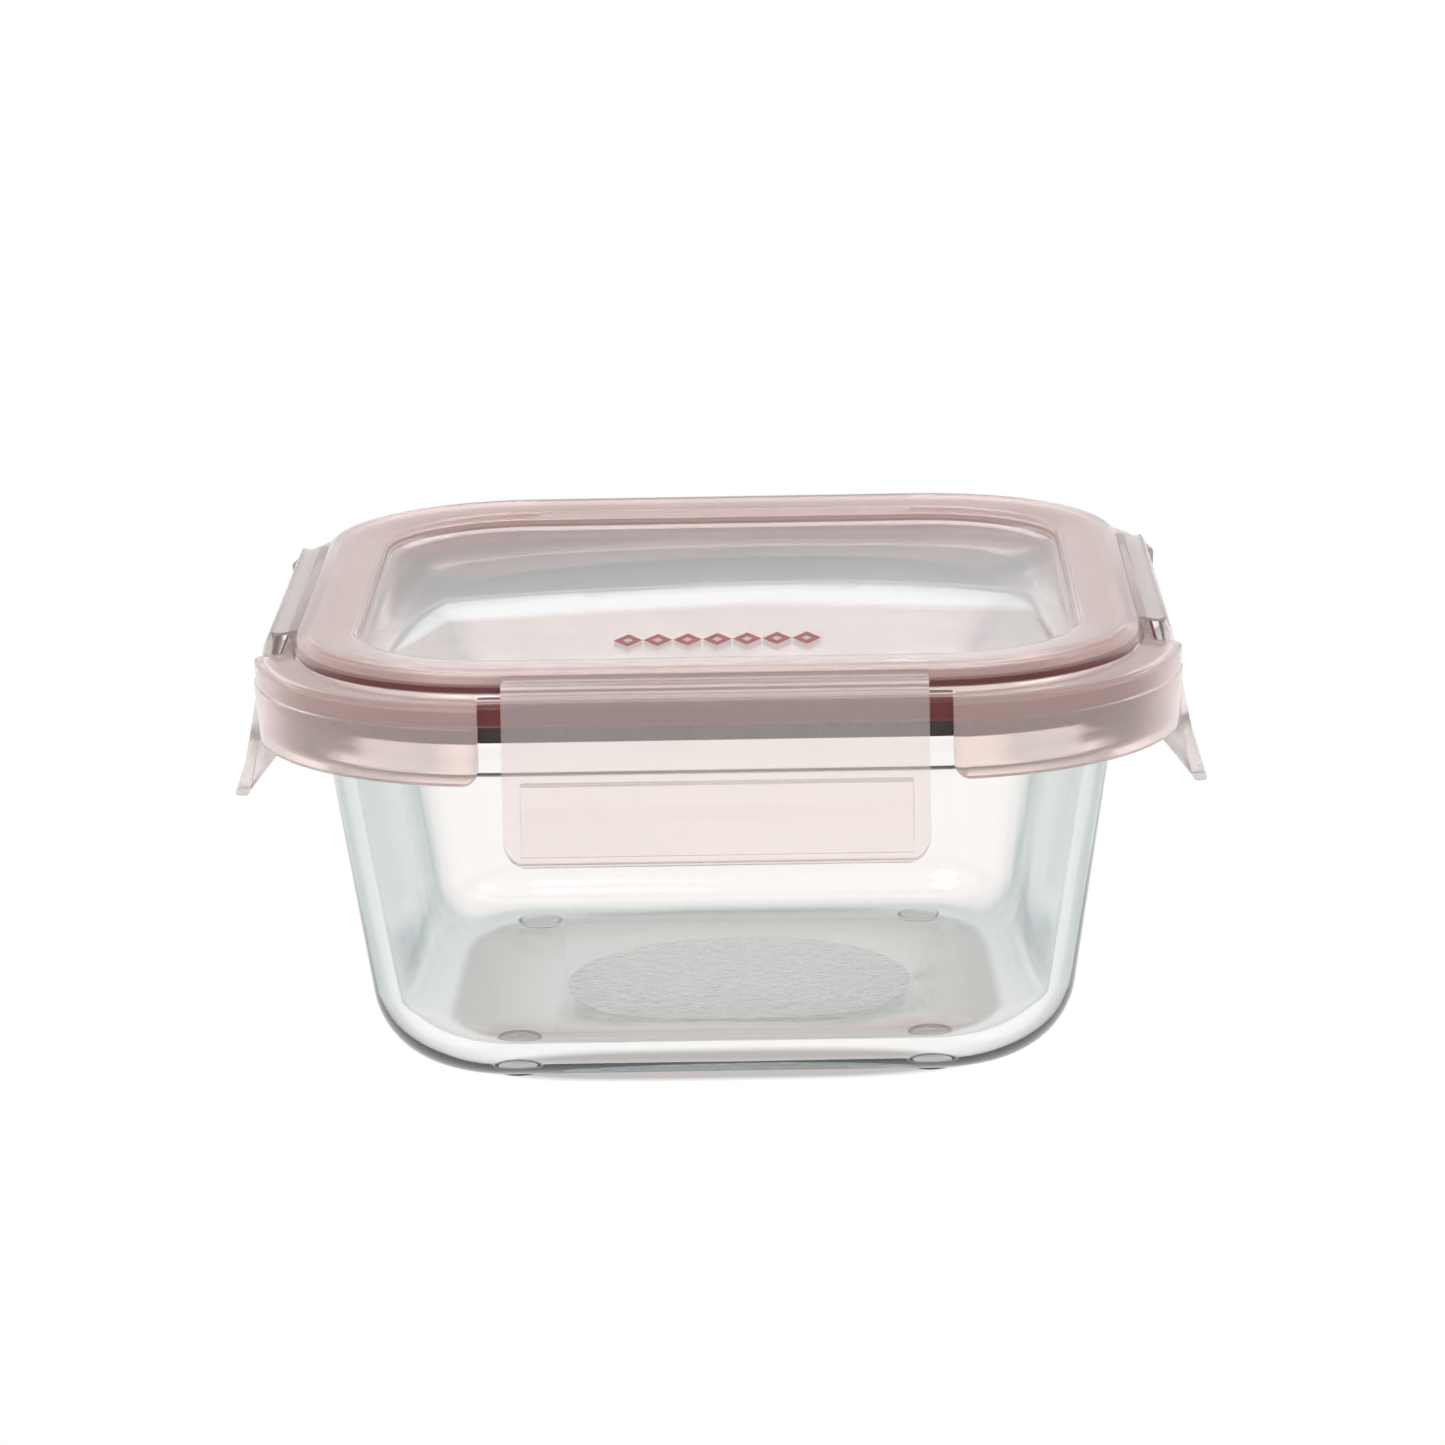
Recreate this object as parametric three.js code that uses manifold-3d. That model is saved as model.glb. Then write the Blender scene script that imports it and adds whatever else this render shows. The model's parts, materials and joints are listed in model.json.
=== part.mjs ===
// Square glass food container with a four-flap snap lid.
// Millimetres, +Z up, origin at the centre of the plane that the feet stand on; the front is -Y.
// Every outline is a rounded square, and all of their corner arcs share the same four centres, the
// corners of a "core square". A section point is [out, z]: its distance outside the core square
// and its height.

import * as THREE from "three";
import { mergeVertices } from "three/addons/utils/BufferGeometryUtils.js";
import Module from "manifold-3d";

const wasm = await Module();
wasm.setup();

// ---- driving dimensions ----

const boxWidth = 150.4; // over two opposite corner skirts
const skirtCornerRadius = 41.2; // plan radius of a corner skirt's outer face
const cornerSteps = 8; // facets in each quarter turn of an outline
const touchGap = 0.3; // left between faces that touch on the real container

const bowlHeight = 64.5; // table to top of rim
const footHeight = 0.7;
const footRadius = 4;
const footInset = 0.4; // from a foot's centre in to the core square's side, along one axis
const footReach = 7.2; // from the core square's side out to a foot's centre, along the other
const floorThickness = 4.5;
const glassWall = 4;
const wallDraft = 0.15; // how far the wall leans out per millimetre of height
const outerBaseRadius = 14;
const innerBaseRadius = 10.2;
const rimOverhang = 5.9; // how far the rim bead stands out past the wall
const rimDepth = 7.8;
const rimRound = 1.6;

const skirtWall = 1.7;
const rimClearance = 2.3; // skirt's inner face to the rim bead
const skirtDraft = 0.5; // how much further in the skirt's bottom edge is
const skirtRidgeBelowTop = 3.9;
const skirtDrop = 13; // skirt top to skirt bottom
const skirtEndRadius = 3; // lower corners where a skirt stops beside a flap
const flapGap = 3.7; // skirt end to flap edge

const sealThickness = 3.4;
const sealClearance = 0.6; // seal to the lid's locating wall
const sealRiserTop = 0.4; // seal's riser to the roof of its groove
const flangeThickness = 1.3;
const lidWall = 1.6;
const ringHeight = 3.8; // ring crest above the flange
const ringShoulder = 1; // short upright wall between the flange and the ring's slope
const ringWidth = 10.6; // window edge to the ring's foot
const ringFootInset = 6.4; // skirt's outer face in to the ring's foot
const windowRecess = 2; // window below the ring's inner edge
const ringInnerDrop = 0.8; // ring's inner edge below its crest
const locatingClearance = 1.7; // locating wall to the glass
const locatingDepth = 1; // how far the locating wall reaches into the bowl

const flapWidth = 66.6;
const flapWall = 1.7;
const flapTuck = 1.8; // flap's outer shoulder inside the skirt's outer face
const flapLean = 0.19; // how far the flap's face leans out per millimetre down
const flapLength = 28.2; // hinge axis to tip
const flapCornerRadius = 4.5;
const tabFlare = 3.5; // how far the tip stands out past the face at the bend
const tabThickness = 2.2;
const hookHeight = 3.4;
const hookWidth = 61;
const hookPlay = 0.2; // hook to rim bead with the flap closed but not yet snapped on
const hookUnderRim = 0.6; // hook's top below the rim bead
const hingeInset = 2.4; // flap's outer shoulder in to the hinge axis
const hingeRise = 2.4; // hinge axis above the flange
const filmReach = 0.95; // hinge axis to either edge of the hinge film
const filmThickness = 0.5;
const ledgeCrown = 0.3; // ledge's top above the hinge axis

// ---- places worked out from them ----

const coreHalf = boxWidth / 2 - skirtCornerRadius;
const skirtInner = skirtCornerRadius - skirtWall;
const rimOuter = skirtInner - rimClearance;
const rimInner = rimOuter - rimOverhang - glassWall;
const rimBottom = bowlHeight - rimDepth;
const sealBottom = bowlHeight + touchGap;
const sealTop = sealBottom + sealThickness;
const flangeBottom = sealTop + touchGap;
const flangeTop = flangeBottom + flangeThickness;
const skirtTop = flangeTop - 0.6;
const skirtBottom = skirtTop - skirtDrop;
const ringCrest = flangeTop + ringHeight;
const ringFoot = skirtCornerRadius - ringFootInset;
const ringInner = ringFoot - ringWidth;
const ringInnerTop = ringCrest - ringInnerDrop;
const windowTop = ringInnerTop - windowRecess;
const locatingOuter = rimInner - locatingClearance;
const locatingBottom = bowlHeight - locatingDepth;
const grooveOuter = ringFoot - lidWall;
const flangeCut = rimOuter - 0.8; // the flange stops here between two skirts
const notchHalf = flapWidth / 2 + flapGap;
const flapShoulder = skirtCornerRadius - flapTuck;
const hingeOut = flapShoulder - hingeInset;
const hingeHeight = flangeTop + hingeRise;
const hingeClear = filmReach + 0.4; // hinge axis to the nearest edge of ledge and flap
const flapTip = hingeHeight - flapLength;
const flapBend = rimBottom + 1.3; // the face turns out into the tab here

// ---- making solids ----

function arc(out, z, radius, fromDegrees, toDegrees, steps) {
  const points = [];
  for (let i = 0; i <= steps; i += 1) {
    const angle = THREE.MathUtils.degToRad(fromDegrees + ((toDegrees - fromDegrees) * i) / steps);
    points.push([out + radius * Math.cos(angle), z + radius * Math.sin(angle)]);
  }
  return points;
}

// One turn round a rounded square, anticlockwise from above.
function outline(out, z) {
  const points = [];
  for (let corner = 0; corner < 4; corner += 1) {
    const diagonal = ((corner + 0.5) * Math.PI) / 2;
    const centreX = coreHalf * Math.SQRT2 * Math.cos(diagonal);
    const centreY = coreHalf * Math.SQRT2 * Math.sin(diagonal);
    for (let i = 0; i <= cornerSteps; i += 1) {
      const angle = ((corner + i / cornerSteps) * Math.PI) / 2;
      points.push([centreX + out * Math.cos(angle), centreY + out * Math.sin(angle), z]);
    }
  }
  return points;
}

// Sweeps a section round the outline. The section runs anticlockwise with [out, z] drawn as x and
// y. A closed section makes a frame; an open one is closed by flat panels at its first and last
// heights, which makes a dish or a lid.
function sweep(section, closed) {
  const rings = section.map(([out, z]) => outline(out, z));
  const count = rings[0].length;
  const positions = rings.flat(2);
  const triangles = [];
  const spans = closed ? rings.length : rings.length - 1;
  for (let row = 0; row < spans; row += 1) {
    const next = (row + 1) % rings.length;
    for (let i = 0; i < count; i += 1) {
      const j = (i + 1) % count;
      const [a, b, c, d] = [row * count + i, row * count + j, next * count + j, next * count + i];
      triangles.push(a, b, c, a, c, d);
    }
  }
  if (!closed) {
    const first = rings.length * count;
    const last = (rings.length - 1) * count;
    positions.push(0, 0, section[0][1], 0, 0, section.at(-1)[1]);
    for (let i = 0; i < count; i += 1) {
      const j = (i + 1) % count;
      triangles.push(first, j, i, first + 1, last + i, last + j);
    }
  }
  const geometry = new THREE.BufferGeometry();
  geometry.setAttribute("position", new THREE.Float32BufferAttribute(positions, 3));
  geometry.setIndex(triangles);
  return geometry;
}

// A straight bar along X on the front side, from a section of [out, z] points.
function bar(section, width) {
  const shape = new THREE.Shape(section.map(([out, z]) => new THREE.Vector2(out, z)));
  const geometry = new THREE.ExtrudeGeometry(shape, { depth: width, bevelEnabled: false });
  geometry.translate(coreHalf, 0, -width / 2);
  const [alongX, outward, up] = [
    new THREE.Vector3(-1, 0, 0),
    new THREE.Vector3(0, -1, 0),
    new THREE.Vector3(0, 0, 1),
  ];
  return geometry.applyMatrix4(new THREE.Matrix4().makeBasis(outward, up, alongX));
}

// A block with a face drawn in the X-Z plane, standing on the front side from one distance outside
// the core square to another.
function block(face, fromOut, toOut) {
  const options = { depth: toOut - fromOut, bevelEnabled: false, curveSegments: 6 };
  const geometry = new THREE.ExtrudeGeometry(face, options);
  geometry.rotateX(Math.PI / 2);
  return geometry.translate(0, -(coreHalf + fromOut), 0);
}

function solid(geometry) {
  const bare = geometry.clone();
  bare.deleteAttribute("normal");
  bare.deleteAttribute("uv");
  const merged = mergeVertices(bare, 1e-4);
  const vertProperties = new Float32Array(merged.attributes.position.array);
  const triVerts = new Uint32Array(merged.index.array);
  return new wasm.Manifold(new wasm.Mesh({ numProp: 3, vertProperties, triVerts }));
}

function shell(manifold) {
  const mesh = manifold.getMesh();
  const geometry = new THREE.BufferGeometry();
  geometry.setAttribute("position", new THREE.BufferAttribute(mesh.vertProperties, 3));
  geometry.setIndex(new THREE.BufferAttribute(mesh.triVerts, 1));
  return geometry;
}

function turned(geometry, side) {
  return geometry.clone().rotateZ((side * Math.PI) / 2);
}

// ---- glass bowl ----

function wallAt(z) {
  return rimInner + glassWall + wallDraft * (z - bowlHeight);
}

// Rounds the corner between a level floor and the leaning wall, from the floor up to the wall.
function baseCorner(floorHeight, wallOffset, radius) {
  const lean = THREE.MathUtils.radToDeg(Math.atan(wallDraft));
  const tangent = radius * Math.tan(THREE.MathUtils.degToRad((90 - lean) / 2));
  const centre = wallAt(floorHeight) - wallOffset - tangent;
  return arc(centre, floorHeight + radius, radius, -90, -lean, 7);
}

function bowlGeometry() {
  const underside = baseCorner(footHeight, 0, outerBaseRadius);
  const inside = baseCorner(footHeight + floorThickness, glassWall, innerBaseRadius);
  const beadFoot = rimBottom - 1;
  const section = [
    ...underside,
    [wallAt(beadFoot), beadFoot],
    [wallAt(rimBottom) + 1, rimBottom],
    ...arc(rimOuter - rimRound, rimBottom + rimRound, rimRound, -90, 0, 3),
    ...arc(rimOuter - rimRound, bowlHeight - rimRound, rimRound, 0, 90, 3),
    ...arc(rimInner + rimRound, bowlHeight - rimRound, rimRound, 90, 180, 3),
    ...inside.reverse(),
  ];
  let bowl = solid(sweep(section, false));
  const foot = new THREE.CylinderGeometry(footRadius, footRadius - 0.6, footHeight + 2, 20);
  foot.rotateX(Math.PI / 2);
  for (const signX of [-1, 1]) {
    for (const signY of [-1, 1]) {
      const x = signX * (coreHalf - footInset);
      const y = signY * (coreHalf + footReach);
      bowl = bowl.add(solid(foot.clone().translate(x, y, footHeight / 2 + 1)));
    }
  }
  return shell(bowl);
}

// ---- lid moulding ----

function lidSection() {
  const windowUnderside = windowTop - lidWall;
  const roof = ringCrest - lidWall;
  const ridge = skirtTop - skirtRidgeBelowTop;
  const slopeFoot = flangeTop + ringShoulder;
  return [
    [locatingOuter - lidWall, windowUnderside],
    [locatingOuter - lidWall, locatingBottom],
    [locatingOuter, locatingBottom],
    [locatingOuter, ringInnerTop - lidWall],
    [ringFoot - 2.9, roof],
    [grooveOuter - 0.3, slopeFoot],
    [grooveOuter, flangeBottom],
    [skirtInner - 0.6, flangeBottom],
    [skirtInner, flangeBottom - 0.8],
    [skirtInner - skirtDraft, skirtBottom],
    [skirtInner - skirtDraft + skirtWall, skirtBottom],
    [skirtCornerRadius - 0.1, ridge - 0.3],
    [skirtCornerRadius, ridge],
    [skirtCornerRadius - 0.35, ridge + 0.3],
    [skirtCornerRadius - 0.25, skirtTop - 0.5],
    [skirtCornerRadius - 0.7, skirtTop],
    [ringFoot + 0.1, flangeTop],
    [ringFoot, slopeFoot],
    [ringFoot - 0.3, slopeFoot + 0.9],
    [ringFoot - 0.9, ringCrest - 0.8],
    [ringFoot - 1.8, ringCrest - 0.2],
    [ringFoot - 2.9, ringCrest],
    [ringFoot - 6.8, ringCrest - 0.3],
    [ringInner + 0.4, ringInnerTop + 0.1],
    [ringInner, ringInnerTop - 0.2],
    [ringInner - 0.4, windowTop + 0.2],
    [ringInner - 0.8, windowTop],
  ];
}

// The opening between two corner skirts, rounded where it meets their lower corners.
function notchFace() {
  const [left, right] = [-notchHalf, notchHalf];
  const [bottom, top] = [skirtBottom - 5, skirtTop + 3];
  const face = new THREE.Shape();
  face.moveTo(left - skirtEndRadius, bottom);
  face.lineTo(right + skirtEndRadius, bottom);
  face.lineTo(right + skirtEndRadius, skirtBottom);
  face.absarc(right + skirtEndRadius, skirtBottom + skirtEndRadius, skirtEndRadius,
    -Math.PI / 2, Math.PI, true);
  face.lineTo(right, top);
  face.lineTo(left, top);
  face.absarc(left - skirtEndRadius, skirtBottom + skirtEndRadius, skirtEndRadius,
    0, -Math.PI / 2, true);
  return face;
}

// The ledge that carries a flap's hinge rises out of the ring's slope.
function ledgeSection() {
  const end = hingeOut - hingeClear;
  const crown = hingeHeight + ledgeCrown;
  const inside = ringFoot - lidWall / 2;
  return [
    [inside, flangeBottom + 0.3],
    [flangeCut, flangeBottom + 0.3],
    [end - 0.6, hingeHeight - 1.4],
    [end, hingeHeight - 0.5],
    [end, hingeHeight + 0.4],
    [end - 0.9, crown],
    [end - 2.4, crown - 0.2],
    [inside, flangeTop + ringShoulder + 0.8],
  ];
}

function lidGeometry() {
  let lid = solid(sweep(lidSection(), false));
  const notch = block(notchFace(), flangeCut, skirtCornerRadius + 5);
  const ledge = bar(ledgeSection(), flapWidth);
  for (let side = 0; side < 4; side += 1) {
    lid = lid.subtract(solid(turned(notch, side))).add(solid(turned(ledge, side)));
  }
  return shell(lid);
}

// ---- silicone seal ----

function sealGeometry() {
  const inner = locatingOuter + sealClearance;
  const riserOuter = grooveOuter - 0.7;
  const riserTop = ringCrest - lidWall - sealRiserTop;
  const riserFoot = flangeTop + ringShoulder - 0.6;
  return sweep([
    [inner, sealBottom + 0.6],
    [inner + 0.6, sealBottom],
    [rimOuter - 0.4, sealBottom],
    [rimOuter + 0.2, sealBottom + 0.6],
    [rimOuter + 0.2, sealTop - 0.4],
    [rimOuter - 0.2, sealTop],
    [riserOuter, sealTop],
    [riserOuter - 0.1, riserFoot],
    [riserOuter - 0.9, riserTop - 0.1],
    [riserOuter - 2.2, riserTop],
    [riserOuter - 2.8, riserFoot],
    [inner + 0.4, riserFoot - 0.3],
    [inner, riserFoot - 0.8],
  ], true);
}

// ---- snap flaps and their hinge films ----

// Outer face of a flap at a height between its shoulder and its bend.
function faceAt(z) {
  return flapShoulder + flapLean * (hingeHeight - 1.1 - z);
}

function panelSection() {
  const inner = faceAt(flapBend) - flapWall;
  const tipOuter = faceAt(flapBend) + tabFlare;
  const edge = hingeOut + hingeClear;
  return [
    [edge, hingeHeight + 0.1],
    [edge - 0.2, hingeHeight - 1.2],
    [edge - 0.1, hingeHeight - 2.4],
    [inner, flapBend],
    [tipOuter - tabThickness - 0.2, flapTip + 1.2],
    [tipOuter - tabThickness + 0.4, flapTip + 0.3],
    [tipOuter - tabThickness / 2, flapTip],
    [tipOuter - 0.5, flapTip + 0.2],
    [tipOuter, flapTip + 0.9],
    [faceAt(flapBend) + 1.4, flapBend - 7.2],
    [faceAt(flapBend), flapBend],
    [faceAt(hingeHeight - 2.2), hingeHeight - 2.2],
    [flapShoulder - 0.3, hingeHeight - 0.9],
    [flapShoulder - 0.8, hingeHeight - 0.2],
  ];
}

// The hook runs down to meet the tab's inner face in a long wedge.
function hookSection() {
  const root = faceAt(flapBend) - flapWall + 0.5;
  const tabInner = faceAt(flapBend) + tabFlare - tabThickness;
  const nose = rimOuter + hookPlay;
  const top = rimBottom - hookUnderRim;
  return [
    [root, top],
    [nose + 0.5, top],
    [nose, top - 0.6],
    [nose, top - hookHeight],
    [nose + 0.3, top - hookHeight - 0.7],
    [tabInner - 0.2, flapTip + 1.2],
    [tabInner + 0.9, flapTip + 1.6],
    [root + 1, top - hookHeight],
  ];
}

function flapFace() {
  const half = flapWidth / 2;
  const face = new THREE.Shape();
  face.moveTo(-half, hingeHeight + 5);
  face.lineTo(-half, flapTip + flapCornerRadius);
  face.absarc(-half + flapCornerRadius, flapTip + flapCornerRadius, flapCornerRadius,
    Math.PI, 1.5 * Math.PI, false);
  face.absarc(half - flapCornerRadius, flapTip + flapCornerRadius, flapCornerRadius,
    1.5 * Math.PI, 2 * Math.PI, false);
  face.lineTo(half, hingeHeight + 5);
  return face;
}

function flapGeometry() {
  const panel = solid(bar(panelSection(), flapWidth));
  const hook = solid(bar(hookSection(), hookWidth));
  const trim = solid(block(flapFace(), rimOuter - 5, flapShoulder + 15));
  return shell(panel.add(hook).intersect(trim));
}

function filmGeometry() {
  const half = filmThickness / 2;
  return bar([
    [hingeOut - filmReach, hingeHeight - half + 0.1],
    [hingeOut, hingeHeight - half + 0.15],
    [hingeOut + filmReach - 0.1, hingeHeight - half - 0.1],
    [hingeOut + filmReach, hingeHeight + half - 0.15],
    [hingeOut, hingeHeight + half + 0.15],
    [hingeOut - filmReach, hingeHeight + half + 0.05],
  ], flapWidth - 0.6);
}

// ---- materials ----

const glass = new THREE.MeshStandardMaterial({
  color: 0xe4eeee, roughness: 0.05, metalness: 0, transparent: true, opacity: 0.35,
});
const lidPlastic = new THREE.MeshStandardMaterial({
  color: 0xdccdc8, roughness: 0.45, metalness: 0, transparent: true, opacity: 0.75,
});
const flapPlastic = new THREE.MeshStandardMaterial({
  color: 0xcfc8c6, roughness: 0.4, metalness: 0, transparent: true, opacity: 0.75,
});
const silicone = new THREE.MeshStandardMaterial({ color: 0x641a14, roughness: 0.6, metalness: 0 });

// ---- assembly ----

const group = new THREE.Group();

function place(name, geometry, material, side = 0) {
  const mesh = new THREE.Mesh(geometry, material);
  mesh.name = name;
  mesh.rotation.z = (side * Math.PI) / 2;
  group.add(mesh);
}

place("glass_bowl", bowlGeometry(), glass);
place("lid_moulding", lidGeometry(), lidPlastic);
place("silicone_seal", sealGeometry(), silicone);
["front", "right", "back", "left"].forEach((side, quarter) => {
  place(`snap_flap_${side}`, flapGeometry(), flapPlastic, quarter);
  place(`hinge_film_${side}`, filmGeometry(), flapPlastic, quarter);
});

export default group;
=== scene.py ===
"""Visible pieces of a square glass food box with a four-flap snap lid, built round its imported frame."""

import json
import math

import bmesh
import bpy
from bpy.props import FloatProperty, FloatVectorProperty, IntProperty, PointerProperty
from mathutils import Matrix, Vector


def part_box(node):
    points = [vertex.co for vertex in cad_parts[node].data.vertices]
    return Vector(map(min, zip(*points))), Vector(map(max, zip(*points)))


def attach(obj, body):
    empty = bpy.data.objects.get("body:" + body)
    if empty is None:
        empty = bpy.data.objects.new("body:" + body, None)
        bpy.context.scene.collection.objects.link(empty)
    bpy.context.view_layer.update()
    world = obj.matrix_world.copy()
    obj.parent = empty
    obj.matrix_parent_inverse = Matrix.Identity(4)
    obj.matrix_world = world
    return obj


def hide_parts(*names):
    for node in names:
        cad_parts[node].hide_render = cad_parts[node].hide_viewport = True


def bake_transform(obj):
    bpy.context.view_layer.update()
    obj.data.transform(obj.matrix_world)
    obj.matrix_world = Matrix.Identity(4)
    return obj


bl_info = {
    "name": "Snap Lid Food Box",
    "version": (1, 0, 0),
    "blender": (4, 5, 0),
    "location": "View3D > Sidebar > Food Box",
    "description": "Builds the glass bowl, frosted lid, seal and snap flaps of a food box",
    "category": "Add Mesh",
}

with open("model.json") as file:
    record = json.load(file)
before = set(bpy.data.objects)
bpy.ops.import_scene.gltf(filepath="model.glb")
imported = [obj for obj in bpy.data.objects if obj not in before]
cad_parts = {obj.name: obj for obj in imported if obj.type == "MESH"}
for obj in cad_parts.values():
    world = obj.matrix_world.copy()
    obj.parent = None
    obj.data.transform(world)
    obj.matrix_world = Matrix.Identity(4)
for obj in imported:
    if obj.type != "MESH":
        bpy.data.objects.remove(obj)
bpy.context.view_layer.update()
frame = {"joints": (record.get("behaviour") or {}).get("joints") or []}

# Sections and outlines are drawn in millimetres and become metres when a mesh is made.
MM = 0.001
SIDES = ("front", "right", "back", "left")
JOINTS = {joint["name"]: joint for joint in frame["joints"]}


def cad_box(node):
    """Lowest and highest corner of a CAD node, in millimetres."""
    low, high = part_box(node)
    return low / MM, high / MM


BOWL_HIGH = cad_box("glass_bowl")[1]
LID_LOW, LID_HIGH = cad_box("lid_moulding")
SEAL_LOW, SEAL_HIGH = cad_box("silicone_seal")
FLAP_LOW, FLAP_HIGH = cad_box("snap_flap_front")
FILM_HIGH = cad_box("hinge_film_front")[1]
HINGE = Vector(JOINTS["front_flap_hinge"]["pos_m"]) / MM


# ---------------------------------------------------------------- settings


def length(name, default, description):
    return FloatProperty(name=name, default=default * MM, min=0.0, description=description,
                         unit="LENGTH", subtype="DISTANCE", precision=5)


def colour(name, default, description):
    return FloatVectorProperty(name=name, default=default, size=3, min=0.0, max=1.0,
                               subtype="COLOR", description=description)


class BoxSizes(bpy.types.PropertyGroup):
    core_half: length("Core half", 34.0, "Half the distance between the centres of two corner arcs")
    corner_steps: IntProperty(name="Corner steps", default=24, min=4, max=64,
                              description="Facets in each quarter turn of an outline")


class BowlSizes(bpy.types.PropertyGroup):
    wall: length("Wall", 4.0, "Thickness of the glass wall")
    floor: length("Floor", 4.5, "Thickness of the glass floor")
    foot_height: length("Foot height", 0.7, "Height of the moulded feet")
    foot_radius: length("Foot radius", 4.0, "Radius of a moulded foot")
    foot_inset: length("Foot inset", 0.4, "From a foot's centre in to the core square's side, along X")
    foot_reach: length("Foot reach", 7.2, "From the core square's side out to a foot's centre, along Y")
    outer_base_radius: length("Outer base radius", 14.0, "Radius under the bowl's lower edge")
    inner_base_radius: length("Inner base radius", 10.2, "Radius inside the bowl's lower edge")
    rim_depth: length("Rim depth", 7.8, "Height of the rim bead")
    rim_overhang: length("Rim overhang", 5.9, "How far the rim bead stands out past the wall")
    lean: FloatProperty(name="Lean", default=0.15,
                        description="How far the wall leans out per unit of height")
    patch_radius: length("Grip patch radius", 29.0, "Radius of the stippled patch under the base")
    patch_offset: length("Grip patch offset", 2.0, "How far the patch lies off centre, right and forward")
    tint: colour("Tint", (0.74, 0.84, 0.82), "Colour that thick glass takes on")
    clear: colour("Clear", (1.0, 0.975, 0.965), "Colour of the glass seen straight on")
    # The edge colour is painted shade, laid on the glass where the view skims along it.
    edge: colour("Edge", (0.26, 0.38, 0.39), "Colour of the glass where the view skims along it")
    # Painted shade: this colour darkens the hollow under the rim bead, where little light reaches, and the
    # two front feet.
    painted_shade: colour("Seat", (0.16, 0.12, 0.12), "Colour of the hollow under the rim bead and of the feet")


class LidSizes(bpy.types.PropertyGroup):
    wall: length("Wall", 1.6, "Wall of the lid moulding")
    ring_width: length("Ring width", 10.6, "Window edge to the ring's foot")
    foot_inset: length("Ring foot inset", 6.4, "Skirt's outer face in to the ring's foot")
    inner_drop: length("Inner drop", 0.8, "Ring's inner edge below its crest")
    recess: length("Recess", 2.0, "Depth of the window below the ring's inner edge")
    flange_height: length("Flange height", 69.8, "Height of the flange's top above the table")
    skirt_radius: length("Skirt radius", 41.2, "Plan radius of a corner skirt's outer face")
    # The frost colour is the plastic's pale tone with painted pink light in it. The pink stands in for the
    # seal's red light scattered through the lid.
    frost_and_painted_seal_light: colour("Frost", (0.93, 0.79, 0.76), "Colour of the frosted plastic")
    window: colour("Window", (0.98, 0.975, 0.98), "Colour of the polished window")
    band: colour("Clear band", (0.93, 0.80, 0.79), "Colour of the unfrosted band round the ring's foot")


class SealSizes(bpy.types.PropertyGroup):
    silicone: colour("Silicone", (0.11, 0.010, 0.007), "Colour of the seal")
    # Painted shadow: the pressed colour is near-black, and the next setting hangs a thin band over the rim
    # to carry it. Together they stand in for the deep shade in the gap under the seal; the silicone itself
    # is all one colour.
    pressed: colour("Pressed silicone", (0.012, 0.003, 0.003), "Colour of the lip pressed on the rim")
    shadow_lip: length("Lip", 2.3, "How far the lip reaches down over the rim")
    ink: colour("Ink", (0.27, 0.05, 0.045), "Colour of the printed mark")


class FlapSizes(bpy.types.PropertyGroup):
    wall: length("Wall", 1.7, "Thickness of a flap's panel")
    corner_radius: length("Corner radius", 4.5, "Radius of a flap's two lower corners")
    lean: FloatProperty(name="Lean", default=0.19,
                        description="How far the face leans out per unit of height")
    flare: length("Flare", 3.5, "How far the tip stands out past the face at the bend")
    tab: length("Tab", 2.2, "Thickness of the tab at its tip")
    hinge_inset: length("Hinge inset", 2.4, "Flap's outer shoulder in to the hinge axis")
    hinge_gap: length("Hinge gap", 1.35, "Hinge axis to the edge of the ledge or of the flap")
    hook_width: length("Hook width", 61.0, "Width of the hook behind a flap")
    plastic: colour("Plastic", (0.90, 0.84, 0.82), "Colour of the flaps")


class StageSizes(bpy.types.PropertyGroup):
    distance: length("Distance", 965.2, "Camera to target")
    target_height: length("Target height", 47.97, "Height of the point that the camera looks at")
    azimuth: FloatProperty(name="Azimuth", default=math.radians(0.88), subtype="ANGLE",
                           description="Camera's turn to the right of straight on")
    elevation: FloatProperty(name="Elevation", default=math.radians(13.58), subtype="ANGLE",
                             description="Camera's height above the horizon")
    roll: FloatProperty(name="Roll", default=math.radians(-1.14), subtype="ANGLE",
                        description="Camera's turn about its own axis")
    lens: FloatProperty(name="Lens", default=142.7, min=10.0, description="Focal length in millimetres")
    sky: FloatProperty(name="Sky", default=1.0, min=0.0, description="Strength of the light from above")


class FoodBoxSettings(bpy.types.PropertyGroup):
    box: PointerProperty(type=BoxSizes)
    bowl: PointerProperty(type=BowlSizes)
    lid: PointerProperty(type=LidSizes)
    seal: PointerProperty(type=SealSizes)
    flap: PointerProperty(type=FlapSizes)
    stage: PointerProperty(type=StageSizes)


def settings():
    return bpy.context.scene.food_box


# ---------------------------------------------------------------- places that pieces share


def core_half():
    """Half the core square, in millimetres; sections are drawn outwards from its side."""
    return settings().box.core_half / MM


def hinge_out():
    return -HINGE.y - core_half()


def ring_foot():
    lid = settings().lid
    return (lid.skirt_radius - lid.foot_inset) / MM


def window_height():
    lid = settings().lid
    return LID_HIGH.z - (lid.inner_drop + lid.recess) / MM


# ---------------------------------------------------------------- drawing sections


def arc(out, z, radius, start, end, steps):
    """Points on an arc, from one angle to another in degrees."""
    points = []
    for i in range(steps + 1):
        angle = math.radians(start + (end - start) * i / steps)
        points.append((out + radius * math.cos(angle), z + radius * math.sin(angle)))
    return points


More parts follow.
